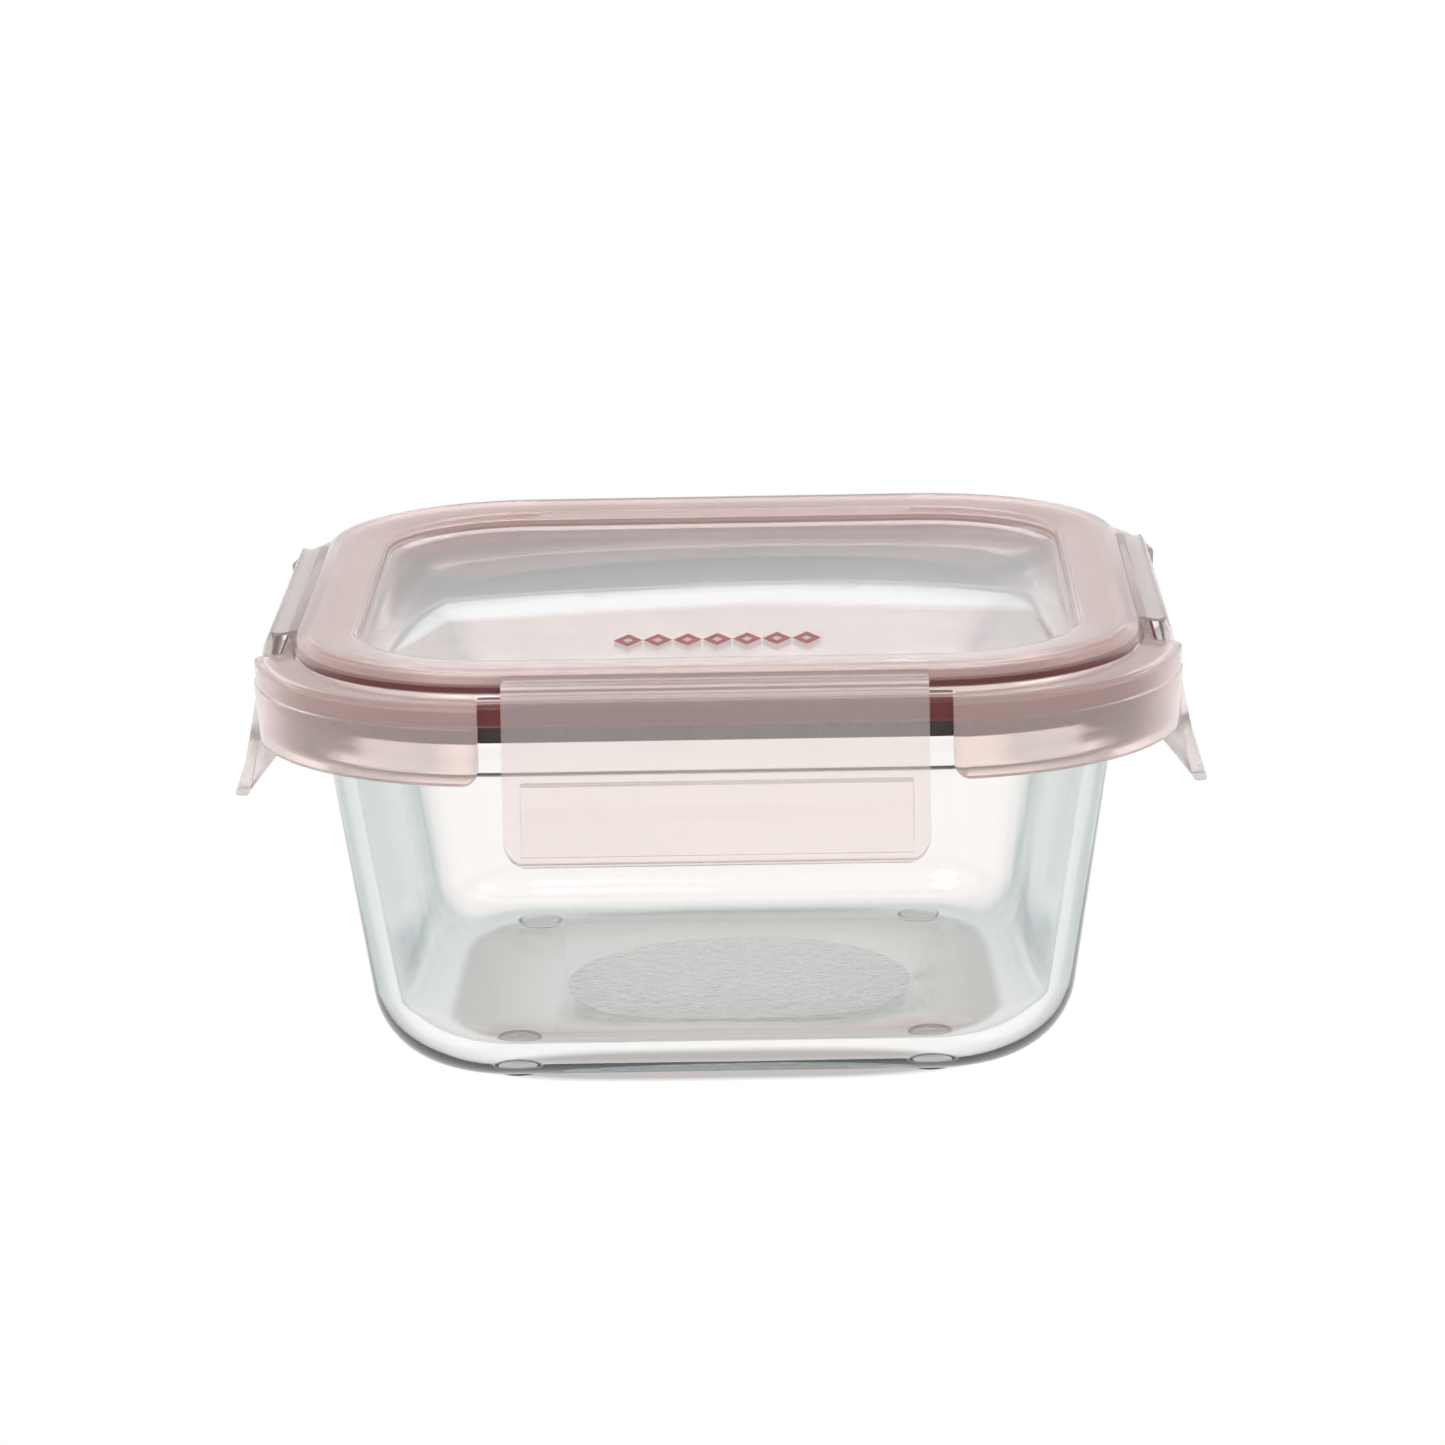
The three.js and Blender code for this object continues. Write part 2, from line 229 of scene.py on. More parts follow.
def rounded(points, radius, steps=4, closed=True):
    """Rounds every corner of a section; an open section keeps its two ends."""
    result = []
    count = len(points)
    for i, point in enumerate(points):
        if not closed and i in (0, count - 1):
            result.append(point)
            continue
        here = Vector(point)
        back = Vector(points[i - 1]) - here
        ahead = Vector(points[(i + 1) % count]) - here
        turn = math.pi - back.angle(ahead)
        if turn < math.radians(8):
            result.append(point)
            continue
        reach = min(radius * math.tan(turn / 2), 0.45 * back.length, 0.45 * ahead.length)
        first = here + back.normalized() * reach
        last = here + ahead.normalized() * reach
        for step in range(steps + 1):
            t = step / steps
            spot = first.lerp(here, t).lerp(here.lerp(last, t), t)
            result.append((spot.x, spot.y))
    return result


def outline(out, z):
    """One turn round the rounded square that lies a distance outside the core square."""
    box = settings().box
    core = box.core_half / MM
    points = []
    for corner in range(4):
        diagonal = (corner + 0.5) * math.pi / 2
        centre = Vector((math.cos(diagonal), math.sin(diagonal))) * core * math.sqrt(2)
        for i in range(box.corner_steps + 1):
            angle = (corner + i / box.corner_steps) * math.pi / 2
            points.append((centre.x + out * math.cos(angle), centre.y + out * math.sin(angle), z))
    return points


def outside_core(point):
    """Distance of a point in metres outside the core square, in millimetres."""
    core = settings().box.core_half
    past = Vector((max(abs(point.x) - core, 0.0), max(abs(point.y) - core, 0.0)))
    inside = max(abs(point.x), abs(point.y)) - core
    return (past.length if inside > 0 else inside) / MM


# ---------------------------------------------------------------- making meshes


def new_object(name, vertices, faces):
    """A mesh object from points in millimetres."""
    mesh = bpy.data.meshes.new(name)
    mesh.from_pydata([Vector(v) * MM for v in vertices], [], faces)
    mesh.validate()
    piece = bpy.data.objects.new(name, mesh)
    bpy.context.scene.collection.objects.link(piece)
    return piece


def tube_faces(rows, count, wrap=False):
    """Faces between rings of points that follow each other; the last can join the first."""
    faces = []
    for row in range(rows if wrap else rows - 1):
        here, after = row * count, (row + 1) % rows * count
        for i in range(count):
            j = (i + 1) % count
            faces.append((here + i, here + j, after + j, after + i))
    return faces


def sweep(name, section, closed):
    """Sweeps a section round the outline; an open section gets a flat panel at each end."""
    rings = [outline(out, z) for out, z in section]
    count = len(rings[0])
    faces = tube_faces(len(rings), count, closed)
    if not closed:
        faces.append(tuple(reversed(range(count))))
        faces.append(tuple((len(rings) - 1) * count + i for i in range(count)))
    return new_object(name, [point for ring in rings for point in ring], faces)


def bar(name, section, width, steps=1):
    """A straight bar along X on the front side."""
    core = core_half()
    count = len(section)
    vertices = []
    for i in range(steps + 1):
        x = width * (0.5 - i / steps)
        vertices += [(x, -(core + out), z) for out, z in section]
    faces = [tuple(reversed(range(count))), tuple(steps * count + i for i in range(count))]
    return new_object(name, vertices, faces + tube_faces(steps + 1, count))


def block(name, face, near, far):
    """A block with a face drawn in X and Z, between two distances outside the core square."""
    core = core_half()
    count = len(face)
    vertices = [(x, -(core + near), z) for x, z in face] + [(x, -(core + far), z) for x, z in face]
    faces = [tuple(reversed(range(count))), tuple(count + i for i in range(count))]
    return new_object(name, vertices, faces + tube_faces(2, count))


def tidy(piece):
    """Merges doubled points and turns every face outwards."""
    mesh = bmesh.new()
    mesh.from_mesh(piece.data)
    bmesh.ops.remove_doubles(mesh, verts=mesh.verts, dist=1e-7)
    bmesh.ops.recalc_face_normals(mesh, faces=mesh.faces)
    mesh.to_mesh(piece.data)
    mesh.free()
    return piece


def apply_modifiers(piece):
    graph = bpy.context.evaluated_depsgraph_get()
    old = piece.data
    piece.data = bpy.data.meshes.new_from_object(piece.evaluated_get(graph))
    piece.modifiers.clear()
    bpy.data.meshes.remove(old)
    return piece


def boolean(piece, other, operation):
    """Joins, cuts or keeps what is common with another solid, which is used up."""
    tidy(piece)
    tidy(other)
    modifier = piece.modifiers.new(operation, "BOOLEAN")
    modifier.operation = operation
    modifier.solver = "EXACT"
    modifier.object = other
    apply_modifiers(piece)
    bpy.data.objects.remove(other)
    return piece


def turn(piece, side):
    """Turns a front piece to another side, in quarter turns."""
    piece.data.transform(Matrix.Rotation(side * math.pi / 2, 4, "Z"))
    return piece


def soften(piece, radius, sharp_above=40):
    """Bevels the cut edges and shades the rest smooth."""
    tidy(piece)
    modifier = piece.modifiers.new("edges", "BEVEL")
    modifier.width = radius * MM
    modifier.segments = 3
    modifier.limit_method = "ANGLE"
    modifier.angle_limit = math.radians(sharp_above)
    modifier.use_clamp_overlap = True
    apply_modifiers(piece)
    return smooth(piece, sharp_above)


def smooth(piece, sharp_above=40):
    piece.data.shade_smooth()
    piece.data.set_sharp_from_angle(angle=math.radians(sharp_above))
    return piece


def finish_piece(piece, material, body, slot, nodes):
    """Gives a piece its material, the body it rides on and the CAD nodes it stands for."""
    if material is not None:
        piece.data.materials.clear()
        piece.data.materials.append(material)
    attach(piece, body)
    piece.visible_shadow = slot == "seal_rubber"
    if nodes:
        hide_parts(*nodes)
    return piece


# ---------------------------------------------------------------- materials


class Shader:
    """A material's node tree, with short helpers for its texture nodes."""

    def __init__(self, name):
        self.material = bpy.data.materials.new(name)
        self.material.use_nodes = True
        self.nodes = self.material.node_tree.nodes
        self.links = self.material.node_tree.links
        self.surface = self.nodes["Principled BSDF"]
        self.place = self.nodes.new("ShaderNodeTexCoord").outputs["Object"]

    def noise(self, scale, detail=4.0, roughness=0.5):
        node = self.nodes.new("ShaderNodeTexNoise")
        node.inputs["Scale"].default_value = scale
        node.inputs["Detail"].default_value = detail
        node.inputs["Roughness"].default_value = roughness
        self.links.new(self.place, node.inputs["Vector"])
        return node.outputs["Fac"]

    def spread(self, source, low, high, to_low, to_high):
        """Maps a range of values onto another, clamped."""
        node = self.nodes.new("ShaderNodeMapRange")
        for name, value in (("From Min", low), ("From Max", high), ("To Min", to_low), ("To Max", to_high)):
            node.inputs[name].default_value = value
        self.links.new(source, node.inputs["Value"])
        return node.outputs["Result"]

    def colours(self, source, low, high):
        """Runs from one colour to another."""
        node = self.nodes.new("ShaderNodeValToRGB")
        node.color_ramp.elements[0].color = (*low, 1.0)
        node.color_ramp.elements[1].color = (*high, 1.0)
        self.links.new(source, node.inputs["Fac"])
        return node.outputs["Color"]

    def arithmetic(self, operation, first, second=None):
        """One operation on a value: with a number, with another value, or on its own."""
        node = self.nodes.new("ShaderNodeMath")
        node.operation = operation
        self.links.new(first, node.inputs[0])
        if isinstance(second, float):
            node.inputs[1].default_value = second
        elif second is not None:
            self.links.new(second, node.inputs[1])
        return node.outputs["Value"]

    def bump(self, height, distance, strength=1.0):
        node = self.nodes.new("ShaderNodeBump")
        node.inputs["Strength"].default_value = strength
        node.inputs["Distance"].default_value = distance
        self.links.new(height, node.inputs["Height"])
        return node.outputs["Normal"]

    def link(self, output, socket):
        self.links.new(output, self.surface.inputs[socket])

    def paint(self, source, tone, low, high):
        """Base colour that wanders between two shades of a tone."""
        self.link(self.colours(source, shade(tone, low), shade(tone, high)), "Base Color")


def shade(colour_value, factor):
    """A colour made darker or lighter, no brighter than white."""
    return tuple(min(1.0, channel * factor) for channel in colour_value)


def glass_material(name, clear, edge):
    """Clear pressed glass, green-grey where it is thick, with painted shade that turns it towards the edge
    colour where it is seen edge on.
    """
    bowl = settings().bowl
    shader = Shader(name)
    surface = shader.surface
    surface.inputs["Transmission Weight"].default_value = 1.0
    surface.inputs["IOR"].default_value = 1.5
    # Painted shade: the colour runs from clear to the edge colour as the surface turns edge on to the view.
    skim = shader.nodes.new("ShaderNodeLayerWeight")
    skim.inputs["Blend"].default_value = 0.5
    edge_on_shade = shader.spread(skim.outputs["Facing"], 0.36, 0.8, 0.0, 1.0)
    shader.link(shader.colours(edge_on_shade, clear, edge), "Base Color")
    shader.link(shader.spread(shader.noise(60.0), 0.45, 0.75, 0.0, 0.04), "Roughness")
    shader.link(shader.bump(shader.noise(28.0, 2.0, 0.4), 0.0006, 0.3), "Normal")
    absorb = shader.nodes.new("ShaderNodeVolumeAbsorption")
    absorb.inputs["Color"].default_value = (*bowl.tint, 1.0)
    absorb.inputs["Density"].default_value = 12.0
    shader.links.new(absorb.outputs["Volume"], shader.nodes["Material Output"].inputs["Volume"])
    return shader.material


def stipple_material():
    """The rough grip patch under the base, still glass but scattering."""
    shader = Shader("stippled_glass")
    surface = shader.surface
    surface.inputs["Transmission Weight"].default_value = 0.85
    surface.inputs["IOR"].default_value = 1.45
    grains = shader.noise(420.0, 3.0, 0.7)
    shader.link(shader.spread(grains, 0.35, 0.65, 0.25, 0.7), "Roughness")
    blotches = shader.noise(260.0, 5.0, 0.75)
    shader.link(shader.colours(blotches, (0.70, 0.68, 0.66), (1.0, 0.985, 0.98)), "Base Color")
    shader.link(shader.bump(grains, 0.0006, 0.8), "Normal")
    return shader.material


def plastic_material(name, tone, clearness, roughness, grain):
    """Translucent polypropylene with a satin mould texture."""
    shader = Shader(name)
    surface = shader.surface
    surface.inputs["Transmission Weight"].default_value = clearness
    surface.inputs["IOR"].default_value = 1.35
    blotches = shader.noise(45.0, 3.0, 0.55)
    shader.paint(blotches, tone, 0.96, 1.04)
    shader.link(shader.spread(blotches, 0.3, 0.7, roughness - 0.04, roughness + 0.04), "Roughness")
    shader.link(shader.bump(shader.noise(90.0, 2.0), 0.0001, grain), "Normal")
    return shader.material


def band_material():
    """The upright band round the ring's foot, left clear by the mould."""
    lid = settings().lid
    shader = Shader("clear_band")
    shader.surface.inputs["Transmission Weight"].default_value = 1.0
    shader.surface.inputs["IOR"].default_value = 1.3
    shader.paint(shader.noise(60.0), lid.band, 0.97, 1.03)
    shader.link(shader.spread(shader.noise(200.0), 0.3, 0.7, 0.02, 0.08), "Roughness")
    return shader.material


def window_material():
    """The polished panel in the middle of the lid."""
    lid = settings().lid
    shader = Shader("polished_window")
    surface = shader.surface
    surface.inputs["Transmission Weight"].default_value = 0.95
    surface.inputs["IOR"].default_value = 1.4
    shader.paint(shader.noise(20.0), lid.window, 0.98, 1.02)
    shader.link(shader.spread(shader.noise(80.0), 0.4, 0.7, 0.03, 0.1), "Roughness")
    shader.link(shader.bump(shader.noise(14.0, 2.0), 0.0004, 0.15), "Normal")
    return shader.material


def silicone_material(name, tone, roughness):
    """Dull moulded silicone with a fine grain."""
    shader = Shader(name)
    shader.surface.inputs["Coat Weight"].default_value = 0.15
    shader.paint(shader.noise(90.0), tone, 0.85, 1.2)
    grains = shader.noise(600.0)
    shader.link(shader.spread(grains, 0.3, 0.7, roughness - 0.08, roughness + 0.08), "Roughness")
    shader.link(shader.bump(shader.noise(900.0), 0.00005, 0.5), "Normal")
    return shader.material


def ink_material():
    """The dull ink of the printed mark."""
    seal = settings().seal
    shader = Shader("printed_ink")
    shader.paint(shader.noise(700.0), seal.ink, 0.9, 1.15)
    shader.link(shader.spread(shader.noise(900.0), 0.3, 0.7, 0.4, 0.6), "Roughness")
    return shader.material


# ---------------------------------------------------------------- bowl


def rim_section():
    """How far outside the core square the rim bead reaches, and the height of its top."""
    return BOWL_HIGH.x - core_half(), BOWL_HIGH.z


class FOODBOX_OT_bowl(bpy.types.Operator):
    """Build the pressed glass bowl with its rim bead, feet and grip patch"""

    bl_idname = "foodbox.bowl"
    bl_label = "Glass Bowl"

    def wall_at(self, z):
        bowl = settings().bowl
        rim_outer, rim_top = rim_section()
        return rim_outer - bowl.rim_overhang / MM + bowl.lean * (z - rim_top)

    def base_corner(self, height, wall, radius, steps):
        lean = math.degrees(math.atan(settings().bowl.lean))
        tangent = radius * math.tan(math.radians((90 - lean) / 2))
        centre = self.wall_at(height) - wall - tangent
        return arc(centre, height + radius, radius, -90, -lean, steps)

    def section(self):
        bowl = settings().bowl
        rim_outer, rim_top = rim_section()
        rim_bottom = rim_top - bowl.rim_depth / MM
        rim_inner = rim_outer - (bowl.rim_overhang + bowl.wall) / MM
        foot = bowl.foot_height / MM
        outer = self.base_corner(foot, 0, bowl.outer_base_radius / MM, 18)
        inner = self.base_corner(foot + bowl.floor / MM, bowl.wall / MM, bowl.inner_base_radius / MM, 16)
        neck = self.wall_at(rim_bottom)
        bead = [
            (self.wall_at(rim_bottom - 2.2), rim_bottom - 2.2),
            (neck + 0.1, rim_bottom - 0.9),
            (neck + 0.9, rim_bottom - 0.15),
            (neck + 2.2, rim_bottom),
            *arc(rim_outer - 1.5, rim_bottom + 1.5, 1.5, -90, 0, 8),
            (rim_outer - 0.08, rim_bottom + 3.4),
            (rim_outer - 0.08, rim_bottom + 4.2),
            *arc(rim_outer - 1.7, rim_top - 1.7, 1.7, 0, 90, 8),
            *arc(rim_inner + 2.2, rim_top - 2.2, 2.2, 90, 180 - math.degrees(math.atan(bowl.lean)), 8),
        ]
        return outer + bead + list(reversed(inner))

    def disc(self, name, centre, rings, count, slot):
        """A solid of stacked circles, whose faces take one of the bowl's material slots."""
        vertices = []
        for radius, z in rings:
            for i in range(count):
                angle = math.tau * i / count
                x, y = radius * math.cos(angle), radius * math.sin(angle)
                vertices.append((centre[0] + x, centre[1] + y, z))
        top = (len(rings) - 1) * count
        faces = [tuple(reversed(range(count))), tuple(top + i for i in range(count))]
        piece = new_object(name, vertices, faces + tube_faces(len(rings), count))
        for material in self.materials:
            piece.data.materials.append(material)
        for polygon in piece.data.polygons:
            polygon.material_index = slot
        return piece

    def add_feet(self, piece):
        bowl = settings().bowl
        core = core_half()
        inset, reach = bowl.foot_inset / MM, bowl.foot_reach / MM
        radius = bowl.foot_radius / MM
        rings = [(radius - 0.9, 0.0), (radius - 0.35, 0.12), (radius, 0.6), (radius, 2.2)]
        for sign_x in (-1, 1):
            for sign_y in (-1, 1):
                centre = (sign_x * (core - inset), sign_y * (core + reach))
                # Painted shade: the front feet take the dark shade glass, though all four feet are the same
                # glass; the back feet stay clear.
                slot = 2 if sign_y < 0 else 0
                boolean(piece, self.disc("foot", centre, rings, 32, slot), "UNION")

    def add_patch(self, piece):
        bowl = settings().bowl
        radius, under = bowl.patch_radius / MM, bowl.foot_height / MM
        rings = [(radius - 0.4, under - 0.1), (radius, under), (radius, under + 1.5)]
        offset = bowl.patch_offset / MM
        boolean(piece, self.disc("patch", (offset, -offset), rings, 96, 1), "UNION")

    def darken_seat(self, piece):
        """The hollow under the rim bead shows dark, because no light reaches it straight."""
        rim_bottom = rim_section()[1] - settings().bowl.rim_depth / MM
        neck = self.wall_at(rim_bottom) - 0.2
        for polygon in piece.data.polygons:
            above = polygon.center.z / MM - rim_bottom
            if -0.6 < above < 0.9 and outside_core(polygon.center) > neck and abs(polygon.normal.z) > 0.15:
                polygon.material_index = 2

    def execute(self, context):
        bowl = settings().bowl
        self.materials = (
            glass_material("pressed_glass", tuple(bowl.clear), tuple(bowl.edge)),
            stipple_material(),
            # The third material paints shade: dark glass for the hollow under the rim bead and for the
            # front feet.
            glass_material("painted_shade_glass", tuple(bowl.painted_shade), tuple(bowl.painted_shade)),
        )
        piece = sweep("bowl_glass", self.section(), closed=False)
        for material in self.materials:
            piece.data.materials.append(material)
        self.darken_seat(piece)
        self.add_feet(piece)
        self.add_patch(piece)
        tidy(piece)
        smooth(piece, 50)
        finish_piece(piece, None, "bowl", "glass", ["glass_bowl"])
        return {"FINISHED"}


# ---------------------------------------------------------------- lid


class FOODBOX_OT_lid(bpy.types.Operator):
    """Build the lid moulding: window, ring, flange, corner skirts and hinge ledges"""

    bl_idname = "foodbox.lid"
    bl_label = "Lid Moulding"

    def section(self):
        lid = settings().lid
        core = core_half()
        wall = lid.wall / MM
        flange = lid.flange_height / MM
        crest = LID_HIGH.z
        skirt = lid.skirt_radius / MM
        skirt_top = flange - 0.6
        bottom = LID_LOW.z
        foot = ring_foot()
        inner = foot - lid.ring_width / MM
        inner_top = crest - lid.inner_drop / MM
        window = window_height()
        locate = SEAL_HIGH.x - core - 12.2
        flange_under = flange - 1.3
        skirt_in = skirt - 1.7
        ridge = skirt_top - 3.9
        ring = [
            (skirt - 0.9, skirt_top - 0.05), (foot + 0.1, flange), (foot, flange + 1.0),
            (foot - 0.3, flange + 1.9), (foot - 0.9, crest - 0.8), (foot - 1.8, crest - 0.2),
            (foot - 2.9, crest), (foot - 4.6, crest - 0.04),
            (foot - 7.8, crest - 0.35), (inner + 0.5, inner_top + 0.02), (inner, inner_top - 0.3),
            (inner - 0.25, window + 0.3), (inner - 0.8, window),
        ]
        skirts = [
            (skirt_in - 0.5, bottom), (skirt_in + 1.2, bottom), (skirt - 0.1, ridge - 0.3), (skirt, ridge),
            (skirt - 0.32, ridge + 0.3), (skirt - 0.22, skirt_top - 0.5),
        ]
        below = [
            (locate - wall, window - wall), (locate - wall, SEAL_LOW.z - 1.3), (locate, SEAL_LOW.z - 1.3),
            (locate + 0.1, inner_top - wall), (foot - 3.0, crest - wall), (foot - wall - 0.3, flange + 0.9),
            (foot - wall, flange_under), (skirt_in - 0.6, flange_under),
            (skirt_in - 0.1, flange_under - 0.7),
        ]
        return rounded(below + skirts + ring, 0.35, 3, closed=False)

    def notch_face(self, half, bottom):
        """The opening between two skirts, with their lower corners rounded."""
        radius = 3.0
        right = [(half + radius, bottom - 5.0)]
        right += arc(half + radius, bottom + radius, radius, -90, -180, 8)
        right += [(half, settings().lid.flange_height / MM + 2.4)]
        return right + [(-x, z) for x, z in reversed(right)]

    def ledge_section(self, cut):
        flange = settings().lid.flange_height / MM
        inside = ring_foot() - 0.8
        end = hinge_out() - settings().flap.hinge_gap / MM
        crown = HINGE.z + 0.3
        points = [
            (inside, flange - 1.0), (cut, flange - 1.0), (end - 0.6, HINGE.z - 1.4), (end, HINGE.z - 0.5),
            (end, HINGE.z + 0.1), (end - 0.5, crown), (inside, crown),
        ]
        return rounded(points, 0.35, 3)

    def execute(self, context):
        piece = sweep("lid_frosted", self.section(), closed=False)
        cut = BOWL_HIGH.x - core_half() - 0.8
        half = FLAP_HIGH.x + 3.7
        for side in range(4):
            face = self.notch_face(half, LID_LOW.z)
            boolean(piece, turn(block("notch", face, cut, cut + 12.0), side), "DIFFERENCE")
        for side in range(4):
            ledge = bar("ledge", self.ledge_section(cut), 2 * FLAP_HIGH.x)
            boolean(piece, turn(ledge, side), "UNION")
        soften(piece, 0.25)
        lid = settings().lid
        # The frosted material's pink is partly painted light from the seal behind.
        frosted = plastic_material("frosted_lid", tuple(lid.frost_and_painted_seal_light), 0.86, 0.17, 0.3)
        for material in (frosted, window_material(), band_material()):
            piece.data.materials.append(material)
        foot = ring_foot()
        flange = lid.flange_height / MM
        edge = foot - lid.ring_width / MM - 0.6
        for polygon in piece.data.polygons:
            out = outside_core(polygon.center)
            height = polygon.center.z / MM
            level = abs(polygon.normal.z) > 0.9
            upright = abs(polygon.normal.z) < 0.6
            if level and out < edge:
                polygon.material_index = 1
            elif upright and foot - 2.4 < out < foot + 0.3 and abs(height - flange) < 1.1:
                polygon.material_index = 2
            else:
                polygon.material_index = 0
        finish_piece(piece, None, "lid", "lid_plastic", ["lid_moulding"])
        return {"FINISHED"}


# ---------------------------------------------------------------- seal


class FOODBOX_OT_seal(bpy.types.Operator):
    """Build the silicone seal that sits in the lid's groove"""

    bl_idname = "foodbox.seal"
    bl_label = "Silicone Seal"

    def execute(self, context):
        outer = SEAL_HIGH.x - core_half()
        low, high = SEAL_LOW.z, SEAL_HIGH.z
        inner = outer - 11.6
        top = low + 3.4
        base = settings().lid.flange_height / MM + 0.4
        shadow_lip = settings().seal.shadow_lip / MM
        # The thin band that hangs down past the seal's outer edge over the rim is a dark sheet put where
        # there is only shade. With the painted shadow colour it draws the dark gap under the seal.
        section = [
            (inner, low + 0.6), (inner + 0.6, low), (inner + 2.6, low), (inner + 3.2, low + 0.5),
            (inner + 4.2, low + 0.5), (inner + 4.8, low), (outer - 0.8, low), (outer - 0.1, low),
            (outer - 0.05, low - shadow_lip), (outer + 0.3, low - shadow_lip), (outer + 0.3, low + 0.2),
            (outer, low + 0.5), (outer, top - 0.4),
            (outer - 0.4, top), (outer - 4.9, top), (outer - 5.0, base), (outer - 5.8, high - 0.1),
            (outer - 7.1, high), (outer - 7.7, base), (inner + 0.4, base - 0.3), (inner, base - 0.8),
        ]
        piece = sweep("seal_ring", rounded(section, 0.15, 3), closed=True)
        seal = settings().seal
        piece.data.materials.append(silicone_material("maroon_silicone", tuple(seal.silicone), 0.46))
        piece.data.materials.append(silicone_material("painted_shadow_silicone", tuple(seal.pressed), 0.3))
        # Faces below the seal's underside, which are the hanging band, take the painted shadow colour; the
        # rest take the silicone colour.
        for polygon in piece.data.polygons:
            polygon.material_index = 1 if polygon.center.z / MM < low + 0.1 else 0
        tidy(piece)
        smooth(piece)
        finish_piece(piece, None, "lid", "seal_rubber", ["silicone_seal"])
        return {"FINISHED"}


# ---------------------------------------------------------------- flaps


class FOODBOX_OT_flaps(bpy.types.Operator):
    """Build the four snap flaps with their hooks"""

    bl_idname = "foodbox.flaps"
    bl_label = "Snap Flaps"

    def face_at(self, z):
        """How far out a flap's face stands at a height between its shoulder and its bend."""
        flap = settings().flap
        return hinge_out() + flap.hinge_inset / MM + flap.lean * (HINGE.z - 1.1 - z)

    def bend(self):
        """Height where the flap stops following the skirts and flares out into its tab."""
        return BOWL_HIGH.z - settings().bowl.rim_depth / MM + 1.3

    def panel_section(self):
        flap = settings().flap
        edge = hinge_out() + flap.hinge_gap / MM
        tip, bend = FLAP_LOW.z, self.bend()
        outer = self.face_at(bend)
        tip_outer = outer + flap.flare / MM
        tab = flap.tab / MM
        shoulder = self.face_at(HINGE.z - 1.1)
        points = [
            (edge, HINGE.z + 0.1), (edge - 0.2, HINGE.z - 1.2), (edge - 0.1, HINGE.z - 2.4),
            (outer - flap.wall / MM, bend), (tip_outer - tab - 0.2, tip + 1.2),
            (tip_outer - tab + 0.4, tip + 0.3),
            (tip_outer - tab / 2, tip), (tip_outer - 0.5, tip + 0.2), (tip_outer, tip + 0.9),
            (outer + 1.4, bend - 7.2), (outer, bend), (self.face_at(HINGE.z - 2.2), HINGE.z - 2.2),
            (shoulder - 0.3, HINGE.z - 0.9), (shoulder - 0.8, HINGE.z - 0.2),
        ]
        return rounded(points, 0.9, 4)

    def hook_section(self):
        flap = settings().flap
        tip, bend = FLAP_LOW.z, self.bend()
        root = self.face_at(bend) - flap.wall / MM + 0.5
        tab_inner = self.face_at(bend) + (flap.flare - flap.tab) / MM
        nose = -FLAP_HIGH.y - core_half()
        top = BOWL_HIGH.z - settings().bowl.rim_depth / MM - 0.6
        points = [
            (root, top), (nose + 0.5, top), (nose, top - 0.6), (nose, top - 3.4), (nose + 0.3, top - 4.1),
            (tab_inner - 0.2, tip + 1.2), (tab_inner + 0.9, tip + 1.6), (root + 1.0, top - 3.4),
        ]
        return rounded(points, 0.4, 3)

    def face(self):
        half, radius = FLAP_HIGH.x, settings().flap.corner_radius / MM
        tip, top = FLAP_LOW.z, HINGE.z + 5.0
        right = arc(half - radius, tip + radius, radius, -90, 0, 12) + [(half, top)]
        return right + [(-x, z) for x, z in reversed(right)]

    def execute(self, context):
        flap = settings().flap
        material = plastic_material("satin_flap", tuple(flap.plastic), 0.88, 0.13, 0.3)
        for side, name in enumerate(SIDES):
            piece = bar(f"flap_{name}", self.panel_section(), 2 * FLAP_HIGH.x)
            boolean(piece, bar("hook", self.hook_section(), flap.hook_width / MM), "UNION")
            boolean(piece, block("trim", self.face(), 30.0, 52.0), "INTERSECT")
            soften(piece, 0.3)
            turn(piece, side)
            finish_piece(piece, material, f"flap_{name}", "flap_plastic", [f"snap_flap_{name}"])
        return {"FINISHED"}


class FOODBOX_OT_films(bpy.types.Operator):
    """Build the hinge films, which lie between the lid and the flaps"""

    bl_idname = "foodbox.films"
    bl_label = "Hinge Films"

    def execute(self, context):
        axis = hinge_out()
        reach, half, steps = 1.5, 0.22, 14
        flap = settings().flap
        material = plastic_material("hinge_film", tuple(flap.plastic), 0.85, 0.2, 0.3)
        top, bottom = [], []
        for i in range(steps + 1):
            t = i / steps
            out = axis + reach * (2 * t - 1)
            z = HINGE.z - 0.1 - 0.25 * math.cos(math.pi * (t - 0.5))
            top.append((out, z + half))
            bottom.append((out, z - half))
        for side, name in enumerate(SIDES):
            piece = bar(f"film_{name}", bottom + list(reversed(top)), FILM_HIGH.x * 2, steps=1)
            tidy(piece)
            smooth(piece)
            turn(piece, side)
            piece.data.materials.append(material)
            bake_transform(piece)
            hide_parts(f"hinge_film_{name}")
        return {"FINISHED"}


# ---------------------------------------------------------------- printed mark


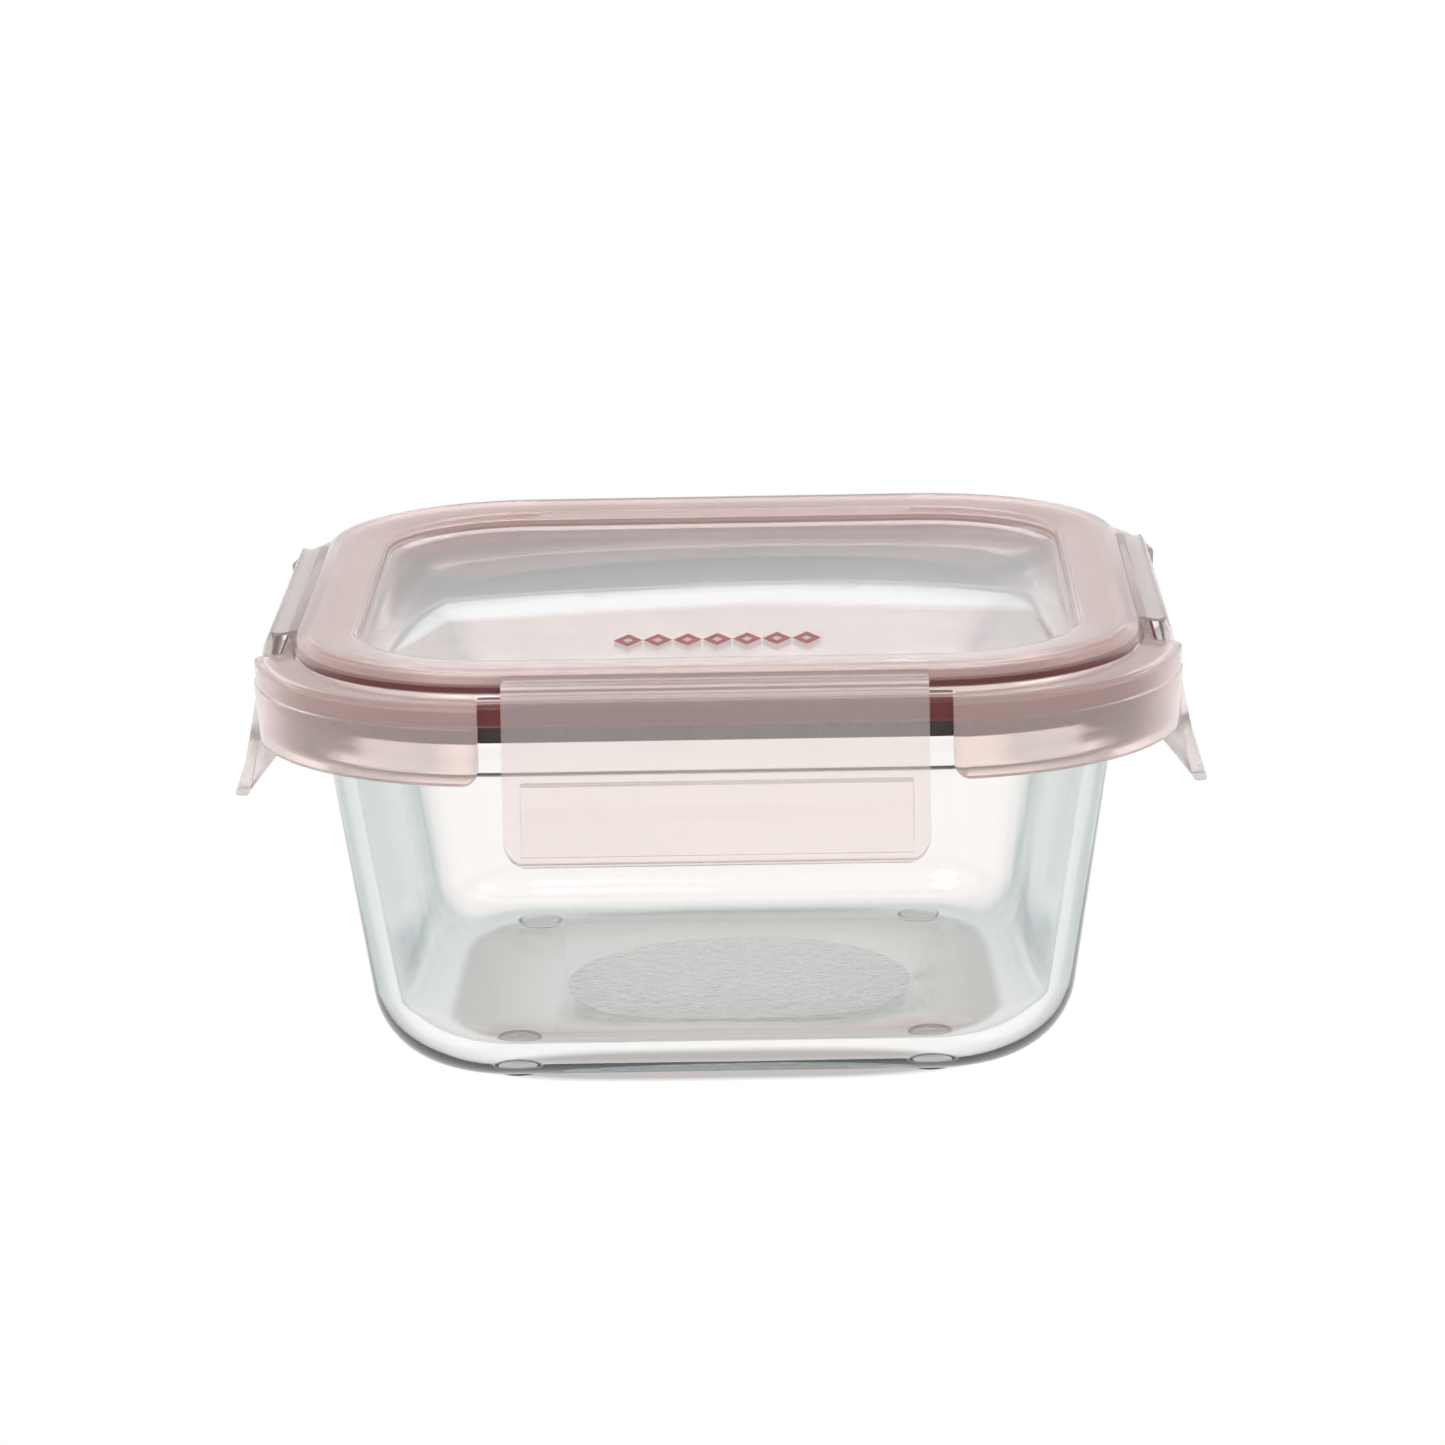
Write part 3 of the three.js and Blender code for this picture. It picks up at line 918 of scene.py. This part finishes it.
class FOODBOX_OT_mark(bpy.types.Operator):
    """Print a plain row of lozenges on the window"""

    bl_idname = "foodbox.mark"
    bl_label = "Printed Mark"

    def execute(self, context):
        window = window_height()
        count, pitch, middle = 7, 4.8, -37.2
        lozenge = ((2.3, 4.4, 0.01), (2.3, 4.4, 0.05), (0.9, 1.8, 0.05), (0.9, 1.8, 0.01))
        vertices, faces = [], []
        for i in range(count):
            x = (i - (count - 1) / 2) * pitch
            start = len(vertices)
            for wide, deep, z in lozenge:
                for k in range(4):
                    angle = math.tau * k / 4
                    across, along = wide * math.cos(angle), deep * math.sin(angle)
                    vertices.append((x + across, middle + along, window + z))
            for ring in range(4):
                for k in range(4):
                    here, after = start + ring * 4, start + (ring + 1) % 4 * 4
                    j = (k + 1) % 4
                    faces.append((here + k, here + j, after + j, after + k))
        piece = new_object("printed_mark", vertices, faces)
        finish_piece(piece, ink_material(), "lid", None, [])
        return {"FINISHED"}


# ---------------------------------------------------------------- stage


class FOODBOX_OT_stage(bpy.types.Operator):
    """Make the pale floor, the soft light and the camera"""

    bl_idname = "foodbox.stage"
    bl_label = "Stage"

    def floor(self):
        mesh = bmesh.new()
        bmesh.ops.create_grid(mesh, x_segments=8, y_segments=8, size=3.5)
        data = bpy.data.meshes.new("floor")
        mesh.to_mesh(data)
        mesh.free()
        piece = bpy.data.objects.new("floor", data)
        bpy.context.scene.collection.objects.link(piece)
        shader = Shader("white_floor")
        shader.surface.inputs["Base Color"].default_value = (0.0, 0.0, 0.0, 1.0)
        shader.surface.inputs["Specular IOR Level"].default_value = 0.0
        shader.surface.inputs["Emission Strength"].default_value = 1.0
        self.shade_contact(shader)
        data.materials.append(shader.material)

    def shade_contact(self, shader):
        """The lit table is white, and a little greyer where the base keeps the light off it."""
        split = shader.nodes.new("ShaderNodeSeparateXYZ")
        shader.links.new(shader.place, split.inputs[0])
        total = None
        for axis in ("X", "Y"):
            power = shader.arithmetic("POWER", shader.arithmetic("ABSOLUTE", split.outputs[axis]), 4.0)
            total = power if total is None else shader.arithmetic("ADD", total, power)
        reach = shader.arithmetic("POWER", total, 0.25)
        ramp = shader.nodes.new("ShaderNodeValToRGB")
        stops = ((0.0, (0.90, 0.86, 0.85)), (0.6, (0.86, 0.81, 0.79)), (0.85, (0.60, 0.54, 0.51)),
                 (0.95, (0.55, 0.53, 0.52)), (1.0, (1.0, 1.0, 1.0)))
        for i, (position, tone) in enumerate(stops):
            points = ramp.color_ramp.elements
            inner = 0 < i < len(stops) - 1
            point = points.new(position) if inner else points[-1 if i else 0]
            point.position = position
            point.color = (*tone, 1.0)
        shader.links.new(shader.spread(reach, 0.0, 0.049, 0.0, 1.0), ramp.inputs["Fac"])
        shader.link(ramp.outputs["Color"], "Emission Color")

    def sky(self):
        """Bright overhead and darker near the horizon, which draws the edges of clear pieces."""
        world = bpy.data.worlds.new("soft_sky")
        bpy.context.scene.world = world
        world.use_nodes = True
        nodes, links = world.node_tree.nodes, world.node_tree.links
        place = nodes.new("ShaderNodeTexCoord")
        split = nodes.new("ShaderNodeSeparateXYZ")
        ramp = nodes.new("ShaderNodeValToRGB")
        links.new(place.outputs["Generated"], split.inputs[0])
        links.new(split.outputs["Z"], ramp.inputs["Fac"])
        ramp.color_ramp.elements[0].position = 0.0
        ramp.color_ramp.elements[0].color = (0.84, 0.85, 0.87, 1.0)
        ramp.color_ramp.elements[1].position = 0.3
        ramp.color_ramp.elements[1].color = (1.0, 1.0, 1.0, 1.0)
        background = nodes["Background"]
        links.new(ramp.outputs["Color"], background.inputs["Color"])
        background.inputs["Strength"].default_value = settings().stage.sky

    def lamp(self, name, place, size, power):
        light = bpy.data.lights.new(name, "AREA")
        light.energy = power
        light.shape = "RECTANGLE"
        light.size, light.size_y = size
        lamp = bpy.data.objects.new(name, light)
        bpy.context.scene.collection.objects.link(lamp)
        lamp.location = place
        aim = Vector((0.0, 0.0, 0.05)) - Vector(place)
        lamp.rotation_euler = aim.to_track_quat("-Z", "Y").to_euler()

    def camera(self):
        stage = settings().stage
        data = bpy.data.cameras.new("camera")
        data.lens = stage.lens
        data.sensor_width = 36.0
        data.clip_end = 20.0
        camera = bpy.data.objects.new("camera", data)
        bpy.context.scene.collection.objects.link(camera)
        target = Vector((0.0, 0.0, stage.target_height))
        level = math.cos(stage.elevation)
        back = Vector((math.sin(stage.azimuth) * level, -math.cos(stage.azimuth) * level,
                       math.sin(stage.elevation)))
        right = Vector((0, 0, 1)).cross(back).normalized()
        up = back.cross(right)
        turned = Matrix((right, up, back)).transposed() @ Matrix.Rotation(stage.roll, 3, "Z")
        camera.matrix_world = Matrix.Translation(target + back * stage.distance) @ turned.to_4x4()
        bpy.context.scene.camera = camera

    def execute(self, context):
        self.floor()
        self.sky()
        self.lamp("key", (-0.5, -0.5, 1.4), (0.7, 0.7), 5.0)
        self.lamp("fill", (0.9, 0.2, 1.1), (0.5, 0.7), 2.0)
        self.camera()
        context.scene.view_settings.view_transform = "Standard"
        return {"FINISHED"}


# ---------------------------------------------------------------- panel and registration


PIECES = (FOODBOX_OT_stage, FOODBOX_OT_bowl, FOODBOX_OT_lid, FOODBOX_OT_seal, FOODBOX_OT_flaps,
          FOODBOX_OT_films, FOODBOX_OT_mark)


class FOODBOX_PT_panel(bpy.types.Panel):
    """Lists the pieces of the food box"""

    bl_label = "Food Box"
    bl_idname = "FOODBOX_PT_panel"
    bl_space_type = "VIEW_3D"
    bl_region_type = "UI"
    bl_category = "Food Box"

    def draw(self, context):
        for operator in PIECES:
            self.layout.operator(operator.bl_idname)


CLASSES = (BoxSizes, BowlSizes, LidSizes, SealSizes, FlapSizes, StageSizes, FoodBoxSettings,
           *PIECES, FOODBOX_PT_panel)


def register():
    for entry in CLASSES:
        bpy.utils.register_class(entry)
    bpy.types.Scene.food_box = PointerProperty(type=FoodBoxSettings)


def unregister():
    del bpy.types.Scene.food_box
    for entry in reversed(CLASSES):
        bpy.utils.unregister_class(entry)


def main():
    register()
    for operator in PIECES:
        group, name = operator.bl_idname.split(".")
        getattr(getattr(bpy.ops, group), name)()


if __name__ == "__main__":
    main()
